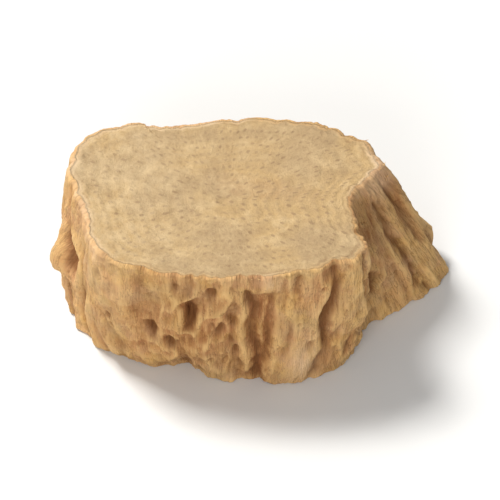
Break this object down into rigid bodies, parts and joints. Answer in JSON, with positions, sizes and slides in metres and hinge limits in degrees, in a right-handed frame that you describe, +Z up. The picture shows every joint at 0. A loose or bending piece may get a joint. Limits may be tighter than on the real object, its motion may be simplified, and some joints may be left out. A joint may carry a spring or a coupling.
{
  "type": "dried cyathula root slice",
  "caption": "Short chunk of dried medicinal root with flat cut ends, furrowed bark all round and a swollen shoulder on one side.",
  "frame": {"origin": "middle of the slice's box, on the plane of the lower cut", "axes": "+X along the longer side of the oblong cut, towards the shoulder; +Z up along the root, out of the upper cut"},
  "size_m": [0.0318, 0.0188, 0.0128],
  "materials": {
    "dried_root": "matt dried root: pale dusty tan cut ends with faint rings, brown furrowed bark"
  },
  "bodies": {
    "root": {"root_slice": "dried_root"}
  },
  "joints": []
}
